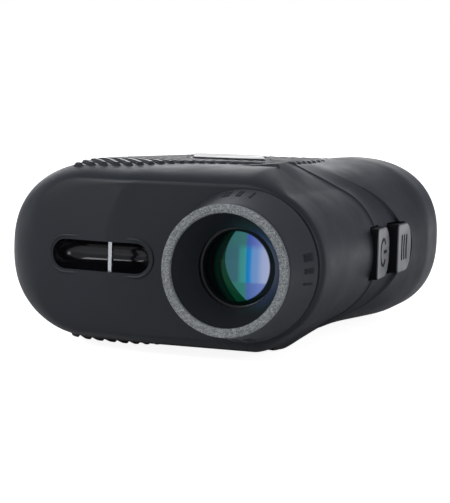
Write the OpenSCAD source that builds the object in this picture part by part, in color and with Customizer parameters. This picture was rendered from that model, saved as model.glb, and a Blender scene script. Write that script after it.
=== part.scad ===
// Hand-held laser rangefinder, lying on its right side.
// X runs from the base of the device to its crown, Y from the eyepiece to the target, Z from right to left.
// Every module is drawn about the eyepiece axis, with Y = 0 at the rear face; placed() moves it into the frame.

/* [Body] */
// Width of the casing across its two flanks
body_w = 39.2; // [36:0.1:50]
// Length of the casing from its rear face to the edge of the hood
body_len = 98; // [80:0.5:120]
// Distance from the eyepiece axis down to the base
base_drop = 60.5; // [54:0.5:73]
// Distance from the eyepiece axis up to the top of the hood
hood_rise = 19.2; // [18:0.1:26]
// Wall of the casing
wall = 2.2; // [1.8:0.1:2.7]
// Width of the rear face left around the diopter ring
shoulder = 1; // [0.6:0.1:2]

/* [Grips] */
// Depth that each rubber grip is let into its flank
grip_inlay = 1; // [0.6:0.1:1.2]
// Height of the ribs over the flank
rib_h = 0.5; // [0.3:0.1:1]
// Height of the smooth pad over the flank
pad_h = 1; // [0.6:0.05:2]
// Distance from one rib to the next
rib_pitch = 2.4; // [1.8:0.1:4]
// Angle between the ribs and the length of the device
rib_angle = 36; // [20:1:60]

/* [Eyepiece] */
// Radius of the eyepiece lenses
eye_lens_r = 8.9; // [7.5:0.1:11]
// Length of the eyecup behind the rear face
eyecup_len = 13.05; // [11:0.05:17]
// Radius of the clear opening in the lens retaining ring
eye_opening_r = 7.66; // [6:0.01:8.2]
// Travel of the lens cell each way when the diopter ring turns
diopter_travel = 0.9; // [0.5:0.1:1.2]
// Widening of the diopter ring from its rim to its base
diopter_taper = 2.4; // [1.5:0.1:4]

/* [Optics] */
// Radius of the objective lens
objective_r = 12.25; // [10:0.05:14]
// Radius of the receiver lens
receiver_r = 10.25; // [8:0.05:12]
// Distance between the objective and receiver axes
lens_spacing = 30; // [26:0.5:36]

/* [Strap slot] */
// Width of the strap slot
slot_w = 6.6; // [6:0.1:10]
// Length of the strap slot
slot_len = 23.6; // [18:0.1:28]
// Depth of the strap slot
slot_depth = 9; // [7:0.5:12]
// Diameter of the strap bar
bar_d = 1.2; // [1:0.1:2.5]

/* [Buttons] */
// Width of each button
button_w = 11.6; // [9:0.1:13]
// Length of each button
button_len = 14.5; // [11:0.1:17]
// Height of a button's rear edge over the crown
button_rise = 1.6; // [1:0.1:2.5]
// Travel of each button
button_travel = 0.5; // [0.3:0.05:0.6]
// Distance from the hood's edge back to the rear edge of the power button
power_setback = 57.4; // [52:0.5:62]
// Distance from the hood's edge back to the rear edge of the mode button
mode_setback = 39.3; // [34:0.5:42]

/* [Battery] */
// Diameter of the battery
battery_d = 15.6; // [13:0.1:19]
// Length of the battery
battery_len = 27; // [24:0.5:30]
// Distance from the rear face to the battery axis
battery_y = 30; // [28:0.5:36]

/* [Fits] */
// Radial clearance of a part that turns or slides in a bore
running_gap = 0.05; // [0.02:0.01:0.1]
// Clearance between parts that never touch
free_gap = 0.3; // [0.25:0.05:0.5]

/* [Hidden] */
$fn = 64;
half_w = body_w / 2;
land_z = half_w + pad_h;
skim = 0.01;

// Eyepiece, built outwards from the lenses
cell_in_r = eye_lens_r + 0.1;
cell_r = cell_in_r + 1.6;
barrel_in_r = cell_r + running_gap;
barrel_r = barrel_in_r + 1.35;
barrel_rear_y = -9;
barrel_front_y = 20;
flange_r = barrel_r + 1.4;
flange_t = 1.5;
nut_r = barrel_r + 0.6;
nut_t = 3;
rim_r = barrel_r + 1.14;
rim_in_r = rim_r - 1.83;
rim_t = 1;
cuff_t = 0.5;
rim_y = -eyecup_len;
ring_rear_y = rim_y + rim_t + cuff_t;
ring_front_y = -0.25;
ring_base_r = rim_r + diopter_taper;
funnel_end_y = -5.4;
funnel_end_r = eye_opening_r + 0.45;
funnel_wall = 0.5;
cell_rear_y = funnel_end_y + diopter_travel + free_gap;
cell_front_y = barrel_front_y - diopter_travel - 2.1;
retainer_t = 1.2;
spacer_wall = 1.1;
eye_lens_y = cell_rear_y + retainer_t;
eye_lens_t = 4.6;
field_lens_t = 3.6;
field_lens_y = cell_front_y - 1.2 - field_lens_t;
seal_r = 0.34;
seal_y = cell_front_y - 4;
reticle_side = 12;
reticle_t = 1.2;
reticle_holder_t = 2.2;

// Casing outline
housing_r = ring_base_r + shoulder;
flare_start = 60;
hood_c = -4.4;
hood_n = 2.45;
base_end_len = 24;
base_c = base_end_len - base_drop;
base_n = 2.3;
base_square = 0.7;
base_square_len = 40;
side_round = 3.8;
side_round_len = 20;
base_round = 14;
base_round_len = 13;
top_round_len = 2;
crease_x = -3;
crease_r = 28.5;
rear_lean = 0.19;
ridge_crown_y = body_len - 54;
ridge_sweep = 19;
step_crown_y = body_len - 28;
step_sweep = 25;
hood_y = body_len - 12;
edge_round = 0.8;
top_points = 14;
base_points = 14;
cap_center_x = -14;
cap_fractions = [0.3, 0.57, 0.78, 1];
cap_angles = [22.5, 45, 67.5, 90];

// Front end
bezel_recess = 0.8;
bezel_t = 2.5;
gasket_t = 0.5;
ledge = 1;
bezel_back_y = body_len - bezel_recess - bezel_t;
ledge_y = bezel_back_y - gasket_t;
front_post_len = 10;
screw_depth = 7;
board_screw_depth = 2;
post_r = 2.4;
screw_r = 1;
screw_head_r = 1.7;
screw_head_t = 1.1;
front_post_reach = objective_r + running_gap + 1.2 + post_r + 0.3;
front_screws = [
    front_post_reach * [cos(58), sin(58)],
    front_post_reach * [cos(58), -sin(58)],
    [-17, half_w - 3.9],
    [-17, 3.9 - half_w],
    [wall + 2.2 - base_drop, 0]
];

// Optical train
prism_y = barrel_front_y + reticle_holder_t;
prism_len = 20;
prism_half = 7.5;
prism_box_top = 8.6;
prism_box_base = -10;
prism_box_half_z = 10;
tube_r = 8.4;
tube_in_r = 7.6;
prism_wall = 1.1;
prism_half_z = 7;
prism_cut_y = 5;
prism_slant = 7;
prism_air_gap = 0.4;
tube_rear_y = prism_y + prism_len + 2 * prism_wall;
objective_barrel_in_r = objective_r + running_gap;
objective_barrel_r = objective_barrel_in_r + 1.2;
objective_back_y = bezel_back_y - 16;
objective_crown_t = 5.5;
objective_flint_t = 2.6;
objective_front_y = bezel_back_y - 3.4;
receiver_x = -lens_spacing;
receiver_barrel_in_r = receiver_r + running_gap;
receiver_barrel_r = receiver_barrel_in_r + 1.2;
receiver_back_y = bezel_back_y - 29;
receiver_lens_t = 5;
retaining_t = 1.5;
window_lip = 0.95;
window_collar = 0.5;
crown_lens_y = objective_front_y - objective_crown_t;
objective_seat_y = crown_lens_y - objective_flint_t + 0.4;
detector_side = 18;
board_t = 1;
detector_r = 4;
detector_gap = 1.2;
laser_y = tube_rear_y + 5.4;
laser_r = 4.2;
laser_len = 9;
laser_socket_wall = 1;
laser_top_x = -tube_r - 1.2;
laser_socket_len = 4.2;
laser_lens_r = 3.2;

// Strap slot
slot_top_x = -21;
slot_mid_x = slot_top_x - slot_len / 2;
slot_wall = 1.4;
bar_x = -30.6;
bar_y = 1.7;
bar_seat = 1;

// Buttons, switches and boards
power_y = body_len - power_setback;
mode_y = body_len - mode_setback;
crown_in_x = housing_r - wall;
button_flange_t = 0.6;
button_flange_half_w = 6.4;
button_foot_x = crown_in_x - 2.63;
switch_board_t = 0.8;
switch_t = 0.9;
switch_side = 4.5;
switch_nub_r = 1;
switch_nub_t = 0.2;
switch_board_x = button_foot_x - button_travel - 0.1 - switch_nub_t - switch_t - switch_board_t;
switch_board_half_w = 7.4;
switch_reach = 7;
saddle_y = [power_y + 4, mode_y + 7];
main_board_post_len = 2.5;
main_board_z = wall + main_board_post_len - half_w;
main_board_x = [-44, -16];
main_board_y = [14, body_len - 18];
main_board_screws = [[-41, 18], [-19, 18], [-41, body_len - 22], [-19, body_len - 22]];
flex_y = [power_y + 4, power_y + 10];
flex_t = 0.3;

// Battery
battery_r = battery_d / 2;
battery_tube_in_r = battery_r + 0.3;
battery_tube_r = battery_tube_in_r + 1.2;
cap_flange_r = battery_tube_r + 1.3;
cap_well_r = cap_flange_r + free_gap;
cap_edge_x = base_end(180 - asin(pow(cap_well_r / half_w, 1 / base_power(battery_y))), battery_y)[0];
cap_floor_x = cap_edge_x + 0.3;
cap_collar_len = 5;
cap_dome = cap_edge_x - 0.3 + base_drop - 0.1;
cap_crown_x = 0.1 - base_drop;
cap_contact_t = 0.7;
cap_spigot_len = 2.4;
battery_base_x = cap_floor_x + cap_spigot_len + cap_contact_t + 0.1;
battery_tube_end_x = battery_base_x + battery_len + 2.4;
cap_seal_r = 0.3;
coin_slot_w = 2;
coin_slot_len = 13;
coin_slot_depth = 1.3;

// Lens faces
eye_lens_sag = 1.1;
field_lens_sag = 1.2;
flat_sag = 0.05;
objective_front_sag = 2.2;
objective_bond_sag = 2;
flint_rear_sag = 0.6;
receiver_sag = 2;

// Grips
rib_count = 34;
grip_x = [-42, -4];
grip_y = [24, body_len - 14];
grip_corner = 8;
pad_x = [-21, -8];
pad_y = [40, body_len - 22];
pad_corner = 4;
grip_floor_z = half_w - grip_inlay;

// Place of the eyepiece axis and rear face in the part's own frame
frame_shift = [(base_drop - hood_rise) / 2, (eyecup_len - body_len) / 2, land_z];

// ---- Curves of the casing ----

function mix(a, b, k) = a + (b - a) * k;
function signed_pow(v, e) = sign(v) * pow(abs(v), e);
function ease(k) = k * k * (3 - 2 * k);

// How far the rear housing widens into the flanks, from 0 at the crown to 1 at the flank
function flare(t) = t <= flare_start ? 0 : pow((t - flare_start) / (90 - flare_start), 1.5);
function housing_end(t) = mix(housing_r, half_w, flare(t)) * [cos(t), sin(t)];
function hood_end(t) =
    [hood_c + (hood_rise - hood_c) * signed_pow(cos(t), 2 / hood_n), half_w * signed_pow(sin(t), 2 / hood_n)];
function base_power(y) = 2 / (base_n + base_square * min(1, y / base_square_len));
function base_end(t, y) =
    [base_c + base_end_len * signed_pow(cos(t), base_power(y)), half_w * signed_pow(sin(t), base_power(y))];

// The two lines that sweep back down the flanks from the buttons
function ridge_y(t) = ridge_crown_y - ridge_sweep * pow(min(t, 90) / 90, 4);
function step_y(t) = step_crown_y - step_sweep * min(t, 90) / 90;
function crown_x(y) = mix(housing_r, hood_rise, growth(y, 0));
function growth(y, t) =
    y <= ridge_y(t) ? 0 : pow(min(1, (y - ridge_y(t)) / (hood_y - ridge_y(t))), 2 - sin(t));

// A point of the outline at y, moved in by d. A spot is [angle, true on the base end, share of the way along
// the straight flank to the base end].
function outline_point(spot, y, d) =
    let (
        t = spot[0],
        p = spot[1] ? base_end(t, y) : mix(housing_end(t), hood_end(t), growth(y, t))
    )
    [mix(p[0], base_c, spot[2]), p[1]] - d * [cos(t), sin(t)];
function lean(p) = max(0, norm([p[0] - crease_x, p[1]]) - crease_r) * rear_lean;
function round_in(spot) =
    spot[1] ? mix(side_round, base_round, ease((spot[0] - 90) / 90)) : mix(shoulder, side_round, flare(spot[0]));
function round_len(spot) =
    spot[1] ? mix(side_round_len, base_round_len, ease((spot[0] - 90) / 90))
            : mix(top_round_len, side_round_len, flare(spot[0]));

// A point on the rounded edge of the rear face: turn 0 is its flat side, 90 its flank side
function edge_point(spot, turn, d) =
    let (
        y = round_len(spot) * (1 - cos(turn)),
        p = outline_point(spot, y, d + round_in(spot) * (1 - sin(turn)))
    )
    [p[0], lean(p) + y + d * cos(turn), p[1]];
function face_point(spot, k, d) =
    let (
        e = edge_point(spot, 0, d),
        p = [mix(cap_center_x, e[0], k), e[2] * k]
    )
    [p[0], lean(p) + d, p[1]];
function side_point(spot, y, d) =
    let (p = outline_point(spot, y, d))
    [p[0], y, p[1]];

flank_shares = [0.25, 0.5, 0.7, 0.86];
half_spots = concat(
    [for (i = [0:top_points]) [90 * i / top_points, false, 0]],
    [for (share = flank_shares) [90, false, share]],
    [for (i = [0:base_points]) [90 + 90 * i / base_points, true, 0]]
);
half_count = len(half_spots);
ring_count = 2 * half_count - 2;

function mirror_z(p) = [p[0], p[1], -p[2]];
// A closed ring from its left half
function full_ring(half) = concat(half, [for (i = [half_count - 2:-1:1]) mirror_z(half[i])]);

function body_rings(d, y_end) = [
    for (k = cap_fractions) full_ring([for (s = half_spots) face_point(s, k, d)]),
    for (a = cap_angles) full_ring([for (s = half_spots) edge_point(s, a, d)]),
    for (k = [0.35, 0.7, 1])
        full_ring([for (s = half_spots) side_point(s, mix(edge_point(s, 90, d)[1], ridge_y(s[0]), k), d)]),
    for (k = [0.35, 0.7, 1]) full_ring([for (s = half_spots) side_point(s, mix(ridge_y(s[0]), step_y(s[0]), k), d)]),
    for (k = [0.25, 0.5, 0.75, 1]) full_ring([for (s = half_spots) side_point(s, mix(step_y(s[0]), hood_y, k), d)]),
    full_ring([for (s = half_spots) side_point(s, y_end - (d == 0 ? edge_round : 0), d)]),
    if (d == 0) full_ring([for (s = half_spots) side_point(s, y_end, edge_round)])
];

module body_solid(d, y_end) {
    rings = body_rings(d, y_end);
    last = len(rings) - 1;
    points = concat([[cap_center_x, d, 0]], [for (r = rings) for (p = r) p]);
    function id(r, i) = 1 + r * ring_count + i % ring_count;
    polyhedron(
        points = points,
        faces = concat(
            [for (i = [0:ring_count - 1]) [0, id(0, i + 1), id(0, i)]],
            [for (r = [0:last - 1], i = [0:ring_count - 1]) [id(r, i), id(r, i + 1), id(r + 1, i)]],
            [for (r = [0:last - 1], i = [0:ring_count - 1]) [id(r + 1, i), id(r, i + 1), id(r + 1, i + 1)]],
            [[for (i = [0:ring_count - 1]) id(last, i)]]
        )
    );
}

// The outline of the hood's end, moved in by d, as a flat shape in X and Z
module front_outline(d) {
    half = [for (s = half_spots) outline_point(s, body_len, d)];
    polygon(concat(half, [for (i = [half_count - 2:-1:1]) [half[i][0], -half[i][1]]]));
}

// ---- Helpers ----

module placed() translate(frame_shift) children();
// Turns a shape drawn in X and Y and raised in Z so that it lies in X and Z and is raised along +Y
module along_y(y) translate([0, y, 0]) rotate([90, 0, 0]) mirror([0, 0, 1]) children();
module tube_y(y, l, r, r_in, x = 0) {
    translate([x, y, 0]) rotate([-90, 0, 0]) difference() {
        cylinder(h = l, r = r);
        translate([0, 0, -1]) cylinder(h = l + 2, r = r_in);
    }
}
module rod_y(y, l, r, x = 0, z = 0) translate([x, y, z]) rotate([-90, 0, 0]) cylinder(h = l, r = r);
module rod_x(x, l, r, y = 0) translate([x, y, 0]) rotate([0, 90, 0]) cylinder(h = l, r = r);
module box(xs, ys, zs) translate([xs[0], ys[0], zs[0]]) cube([xs[1] - xs[0], ys[1] - ys[0], zs[1] - zs[0]]);
// A ring turned about the eyepiece axis from a profile of [radius, y] points
module turned(profile, x = 0) translate([x, 0, 0]) rotate([-90, 0, 0]) rotate_extrude() polygon(profile);
// Depth of a face of radius r and sagitta sag, at the radius s
function sag_at(s, r, sag) = let (big = (r * r + sag * sag) / (2 * sag)) big - sqrt(big * big - s * s);
// A lens face from its vertex at y out to its edge, which lies sag further along
function arc_profile(r, y, sag, steps = 8) =
    let (big = (r * r + sag * sag) / (2 * abs(sag)), a = asin(r / big))
    [for (i = [0:steps]) let (q = a * i / steps) [big * sin(q), y + sign(sag) * big * (1 - cos(q))]];
function reversed(v) = [for (i = [len(v) - 1:-1:0]) v[i]];
module lens(r, y_rear, y_front, sag_rear, sag_front, x = 0)
    turned(concat(arc_profile(r, y_rear, sag_rear), reversed(arc_profile(r, y_front, sag_front))), x);
module rounded_rect(xs, ys, r) {
    translate([xs[0], ys[0] + r]) square([xs[1] - xs[0], ys[1] - ys[0] - 2 * r]);
    translate([xs[0] + r, ys[0]]) square([xs[1] - xs[0] - 2 * r, ys[1] - ys[0]]);
    for (x = [xs[0] + r, xs[1] - r], y = [ys[0] + r, ys[1] - r]) translate([x, y]) circle(r);
}

// ---- Casing ----

module slot_solid(grow, y0) {
    r = slot_w / 2 + grow;
    reach = (slot_len - slot_w) / 2;
    depth = slot_depth + grow - y0;
    for (side = [-1, 1]) rod_y(y0, depth, r, slot_mid_x + side * reach);
    box([slot_mid_x - reach, slot_mid_x + reach], [y0, y0 + depth], [-r, r]);
}

// D-shaped column of a button: straight at its rear edge, round in front
module button_column(y, grow) {
    half = button_w / 2 + grow;
    straight = button_len - button_w / 2 + grow;
    low = button_foot_x + button_flange_t;
    box([low, hood_rise + 5], [y - grow, y + straight], [-half, half]);
    rod_x(low, hood_rise + 5 - low, half, y + straight);
}

module grip_plate(side, z, t) {
    low = side > 0 ? z : -z - t;
    translate([0, 0, low]) linear_extrude(height = t) rounded_rect(grip_x, grip_y, grip_corner);
}

module casing_posts() {
    for (s = front_screws) rod_y(ledge_y - front_post_len, front_post_len, post_r, s[0], s[1]);
    for (s = main_board_screws)
        translate([s[0], s[1], main_board_z - main_board_post_len - 0.4])
            cylinder(h = main_board_post_len + 0.4, r = post_r);
}

module casing_shell() {
    difference() {
        body_solid(0, body_len);
        difference() {
            body_solid(wall, ledge_y);
            slot_solid(slot_wall, -1);
            rod_x(cap_floor_x, cap_collar_len, cap_well_r + 0.6, battery_y);
        }
        along_y(ledge_y - skim) linear_extrude(height = body_len) front_outline(wall - ledge);
    }
}

module main_casing() {
    color("#34373b") placed() difference() {
        union() {
            casing_shell();
            casing_posts();
        }
        rod_y(-1, wall + 3, barrel_r + running_gap);
        slot_solid(0, -1);
        button_column(power_y, free_gap);
        button_column(mode_y, free_gap);
        rod_x(-base_drop - 1, base_drop, battery_tube_r, battery_y);
        rod_x(-base_drop - 1, base_drop + 1 + cap_floor_x, cap_well_r, battery_y);
        for (side = [-1, 1]) grip_plate(side, grip_floor_z, 4);
        for (s = front_screws) rod_y(ledge_y - screw_depth, screw_depth + 1, screw_r, s[0], s[1]);
        for (s = main_board_screws) translate([s[0], s[1], main_board_z - board_screw_depth])
            cylinder(h = board_screw_depth + 1, r = screw_r);
        translate([bar_x, bar_y, -slot_w / 2 - bar_seat]) cylinder(h = slot_w + 2 * bar_seat, r = bar_d / 2);
    }
}

module front_bezel() {
    front_y = bezel_back_y + bezel_t;
    color("#1d1f22") placed() difference() {
        union() {
            along_y(bezel_back_y) linear_extrude(height = bezel_t) front_outline(wall - ledge + 0.1);
            rod_y(front_y - skim, window_collar + skim, objective_barrel_r + 0.8);
            rod_y(front_y - skim, window_collar + skim, receiver_barrel_r + 0.8, receiver_x);
        }
        rod_y(bezel_back_y - 1, bezel_t + 3, objective_r - window_lip);
        rod_y(bezel_back_y - 1, bezel_t + 3, receiver_r - window_lip, receiver_x);
        for (s = front_screws) {
            rod_y(bezel_back_y - 1, bezel_t + 3, screw_r + 0.1, s[0], s[1]);
            rod_y(front_y - screw_head_t, screw_head_t + 1, screw_head_r + 0.1, s[0], s[1]);
        }
    }
}

module bezel_gasket() {
    color("#17181a") placed() difference() {
        along_y(ledge_y) linear_extrude(height = gasket_t) difference() {
            front_outline(wall - ledge + 0.1);
            front_outline(wall);
        }
        for (s = front_screws) rod_y(ledge_y - 1, gasket_t + 2, screw_r + 0.2, s[0], s[1]);
    }
}

module bezel_screws() {
    head_y = bezel_back_y + bezel_t - screw_head_t;
    color("#2b2c2e") placed() for (s = front_screws) difference() {
        union() {
            rod_y(ledge_y - screw_depth + 1, head_y - ledge_y + screw_depth - 1 + skim, screw_r, s[0], s[1]);
            rod_y(head_y, screw_head_t, screw_head_r, s[0], s[1]);
        }
        translate([s[0], head_y + screw_head_t + skim, s[1]]) rotate([90, 0, 0])
            cylinder(h = 0.7, r = 0.8, $fn = 6);
    }
}

// A rubber grip: a plate with slanted ribs and a smooth pad that stands a little over the ribs
module grip(side) {
    mirror([0, 0, side > 0 ? 0 : 1]) {
        grip_plate(1, grip_floor_z, grip_inlay);
        difference() {
            intersection() {
                grip_plate(1, half_w - skim, rib_h + skim);
                for (i = [-rib_count:rib_count]) translate([-20, body_len / 2, half_w - skim])
                    rotate([0, 0, rib_angle - 90]) translate([-body_len, i * rib_pitch, 0])
                        cube([2 * body_len, rib_pitch * 0.55, rib_h + skim]);
            }
            translate([0, 0, half_w]) linear_extrude(height = 2)
                rounded_rect([pad_x[0] - 0.8, pad_x[1] + 0.8], [pad_y[0] - 0.8, pad_y[1] + 0.8], pad_corner + 0.8);
        }
        translate([0, 0, half_w - skim]) linear_extrude(height = pad_h + skim)
            rounded_rect(pad_x, pad_y, pad_corner);
    }
}
module left_grip() { color("#26282b") placed() grip(1); }
module right_grip() { color("#26282b") placed() grip(-1); }

module strap_bar() {
    color("#d8dadc") placed() translate([bar_x, bar_y, -slot_w / 2 - bar_seat])
        cylinder(h = slot_w + 2 * bar_seat, r = bar_d / 2);
}

// ---- Eyepiece ----

module eyepiece_barrel() {
    color("#202124") placed() {
        tube_y(barrel_rear_y, barrel_front_y - barrel_rear_y, barrel_r, barrel_in_r);
        tube_y(-flange_t, flange_t, flange_r, barrel_in_r);
    }
}

module barrel_nut() {
    color("#3a3b3d") placed() difference() {
        tube_y(wall, nut_t, nut_r, barrel_r);
        for (a = [0:90:270]) rotate([0, a, 0])
            box([barrel_r + 0.3, nut_r + 1], [wall + 1.5, wall + nut_t + 1], [-1.2, 1.2]);
    }
}

module diopter_ring() {
    bore = barrel_r + running_gap;
    skirt = flange_r + free_gap;
    skirt_y = -flange_t - free_gap;
    color("#2c2e32") placed() turned([
        [bore, ring_rear_y], [rim_r, ring_rear_y], [ring_base_r, ring_front_y - 0.6], [ring_base_r, ring_front_y],
        [skirt, ring_front_y], [skirt, skirt_y], [bore, skirt_y]
    ]);
}

module eyecup_rim() {
    color("#7a7f80") placed() tube_y(rim_y, rim_t, rim_r, rim_in_r);
}

module eyecup_funnel() {
    y0 = rim_y + rim_t;
    color("#111214") placed() turned([
        [rim_in_r, y0], [rim_r - 0.2, y0], [rim_r - 0.2, ring_rear_y], [rim_in_r + 0.3, ring_rear_y],
        [funnel_end_r + funnel_wall, funnel_end_y], [funnel_end_r, funnel_end_y]
    ]);
}

module lens_cell() {
    color("#161719") placed() difference() {
        tube_y(cell_rear_y, cell_front_y - cell_rear_y, cell_r, cell_in_r);
        tube_y(seal_y - 1.2 * seal_r, 2.4 * seal_r, cell_r + 1, cell_r - 2 * seal_r);
    }
}
module cell_seal() {
    color("#0c0c0d") placed() translate([0, seal_y, 0]) rotate([-90, 0, 0]) rotate_extrude()
        translate([cell_r - seal_r, 0]) circle(seal_r);
}

module lens_retainer() { color("#2a2b2d") placed() tube_y(cell_rear_y, retainer_t, cell_in_r, eye_opening_r); }
module eye_lens() {
    color("#3f9fb8", 0.5) placed()
        lens(eye_lens_r, eye_lens_y, eye_lens_y + eye_lens_t, eye_lens_sag, -eye_lens_sag);
}
module lens_spacer() {
    in_r = cell_in_r - spacer_wall;
    y0 = eye_lens_y + eye_lens_t - sag_at(in_r, eye_lens_r, eye_lens_sag);
    y1 = field_lens_y + sag_at(in_r, eye_lens_r, field_lens_sag);
    color("#161719") placed() tube_y(y0, y1 - y0, cell_in_r, in_r);
}
module field_lens() {
    color("#9fc4cc", 0.5) placed()
        lens(eye_lens_r, field_lens_y, field_lens_y + field_lens_t, field_lens_sag, -flat_sag);
}
module field_lens_retainer() {
    y0 = field_lens_y + field_lens_t;
    color("#2a2b2d") placed() tube_y(y0, cell_front_y - y0, cell_in_r, cell_in_r - spacer_wall);
}

module reticle_pocket(grow) {
    half = reticle_side / 2 + grow;
    y1 = barrel_front_y + reticle_holder_t;
    box([-half, half], [y1 - reticle_t, y1 + grow], [-half, half]);
}
module reticle_holder() {
    color("#1b1c1e") placed() difference() {
        tube_y(barrel_front_y, reticle_holder_t, barrel_r, reticle_side / 2 - 0.6);
        reticle_pocket(0.1);
    }
}
module reticle_display() { color("#b8c4c0", 0.6) placed() reticle_pocket(0); }

module prism_holder() {
    y1 = prism_y + prism_len + 2 * prism_wall;
    color("#232427") placed() difference() {
        box([prism_box_base, prism_box_top], [prism_y, y1], [-prism_box_half_z, prism_box_half_z]);
        box([-prism_half, prism_half], [prism_y + prism_wall, y1 - prism_wall], [-prism_half_z, prism_half_z]);
        rod_y(prism_y - 1, prism_len + 2 * prism_wall + 2, prism_half - 1);
    }
}
// The two prisms share a slanted air gap
module prism_block(points) translate([0, prism_y + prism_wall, -prism_half_z])
    linear_extrude(height = 2 * prism_half_z) polygon(points);
module rear_prism() {
    h = prism_half;
    color("#c8dce4", 0.5) placed() prism_block([[-h, 0], [h, 0], [h, prism_cut_y], [-h, prism_cut_y + prism_slant]]);
}
module roof_prism() {
    h = prism_half;
    y = prism_cut_y + prism_air_gap;
    color("#c8dce4", 0.5) placed() prism_block([[-h, y + prism_slant], [h, y], [h, prism_len], [-h, prism_len]]);
}

// ---- Objective, laser and receiver ----

module objective_barrel() {
    color("#1f2023") placed() difference() {
        union() {
            turned([
                [tube_in_r, tube_rear_y], [tube_r, tube_rear_y], [tube_r, objective_back_y - 4],
                [objective_barrel_r, objective_back_y], [objective_barrel_r, bezel_back_y],
                [objective_barrel_in_r, bezel_back_y], [objective_barrel_in_r, objective_seat_y],
                [objective_r - window_lip, objective_seat_y], [objective_r - window_lip, objective_back_y + 1],
                [tube_in_r, objective_back_y - 3]
            ]);
            difference() {
                rod_x(-tube_r - laser_socket_len, laser_socket_len + 1.5, laser_r + laser_socket_wall, laser_y);
                rod_y(tube_rear_y, 20, tube_r - 0.2);
            }
            for (y = saddle_y) difference() {
                box([tube_r - 1.5, switch_board_x], [y, y + 2], [-3, 3]);
                rod_y(tube_rear_y, 60, tube_r - 0.2);
            }
        }
        rod_x(laser_top_x - laser_len, laser_len, laser_r, laser_y);
        rod_x(laser_top_x - 1, laser_len, laser_lens_r, laser_y);
    }
}
module objective_crown_lens() {
    color("#7fb0d8", 0.5) placed()
        lens(objective_r, crown_lens_y, objective_front_y, objective_bond_sag, -objective_front_sag);
}
module objective_flint_lens() {
    y1 = crown_lens_y - 0.02;
    color("#a9c8dd", 0.5) placed()
        lens(objective_r, y1 - objective_flint_t, y1, flint_rear_sag, objective_bond_sag);
}
module objective_retainer() {
    in_r = objective_r - window_lip;
    y0 = objective_front_y - sag_at(in_r, objective_r, objective_front_sag);
    color("#2a2b2d") placed() tube_y(y0, retaining_t, objective_barrel_in_r, in_r);
}

module receiver_barrel() {
    color("#1f2023") placed() {
        tube_y(receiver_back_y, bezel_back_y - receiver_back_y, receiver_barrel_r, receiver_barrel_in_r, receiver_x);
        tube_y(receiver_back_y, 1.2, receiver_barrel_r - 0.5, detector_r, receiver_x);
        for (z = [-7, 7]) rod_y(receiver_back_y - detector_gap, detector_gap + 0.5, 1.2, receiver_x, z);
    }
}
module receiver_lens() {
    y1 = bezel_back_y - 3.4;
    color("#c07a62", 0.5) placed()
        lens(receiver_r, y1 - receiver_lens_t, y1, flat_sag, -receiver_sag, receiver_x);
}
module receiver_retainer() {
    in_r = receiver_r - window_lip;
    y0 = bezel_back_y - 3.4 - sag_at(in_r, receiver_r, receiver_sag);
    color("#2a2b2d") placed() tube_y(y0, retaining_t, receiver_barrel_in_r, in_r, receiver_x);
}
module detector_board() {
    h = detector_side / 2;
    y1 = receiver_back_y - detector_gap;
    color("#1d6b3c") placed() box([receiver_x - h, receiver_x + h], [y1 - board_t, y1], [-h, h]);
}
module detector() { color("#c9b27a") placed() rod_y(receiver_back_y - detector_gap, 2, detector_r, receiver_x); }

module laser_module() { color("#b98d4c") placed() rod_x(laser_top_x - laser_len, laser_len - 0.6, laser_r, laser_y); }
module laser_lens() { color("#c08fb0", 0.5) placed() rod_x(laser_top_x - 0.6, 1, laser_lens_r, laser_y); }

// ---- Boards, switches and buttons ----

module main_board() {
    color("#1d6b3c") placed() difference() {
        box(main_board_x, main_board_y, [main_board_z, main_board_z + board_t]);
        for (s = main_board_screws) translate([s[0], s[1], main_board_z - 1]) cylinder(h = board_t + 2, r = screw_r + 0.1);
    }
}
module board_chips() {
    z = main_board_z + board_t;
    color("#151618") placed() {
        box([-36, -24], [24, 36], [z, z + 1.2]);
        box([-34, -26], [40, 52], [z, z + 1]);
        box([-40, -37], [26, 34], [z, z + 0.9]);
        for (y = [56:5:66]) box([-22, -18.5], [y, y + 3], [z, z + 1.2]);
    }
}
module board_screws() {
    color("#b9bcc0") placed() for (s = main_board_screws) translate([s[0], s[1], main_board_z]) {
        translate([0, 0, 0.5 - board_screw_depth]) cylinder(h = board_t + board_screw_depth, r = screw_r);
        translate([0, 0, board_t]) cylinder(h = 0.8, r = screw_head_r);
    }
}
module switch_board() {
    color("#1d6b3c") placed() box([switch_board_x, switch_board_x + switch_board_t],
        [power_y + 1.2, mode_y + button_len - 4], [-switch_board_half_w, switch_board_half_w]);
}
module tact_switch(y) {
    h = switch_side / 2;
    x = switch_board_x + switch_board_t;
    box([x, x + switch_t], [y - h, y + h], [-h, h]);
    rod_x(x, switch_t + switch_nub_t, switch_nub_r, y);
}
module power_switch() { color("#8d9094") placed() tact_switch(power_y + switch_reach); }
module mode_switch() { color("#8d9094") placed() tact_switch(mode_y + switch_reach); }

// The ribbon runs from the switch board's edge round the light tube to the main board
flex_path = [
    [switch_board_x + 0.2, -switch_board_half_w],
    [switch_board_x - 1, -switch_board_half_w - 3.4],
    [2, 6.3 - half_w],
    [-8, 4.9 - half_w],
    [main_board_x[1], main_board_z + board_t]
];
module flex_cable() {
    under = [for (p = flex_path) [p[0] + flex_t / 3, p[1] - flex_t]];
    color("#a8692e") placed() along_y(flex_y[0]) linear_extrude(height = flex_y[1] - flex_y[0])
        polygon(concat(reversed(flex_path), under));
}

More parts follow.
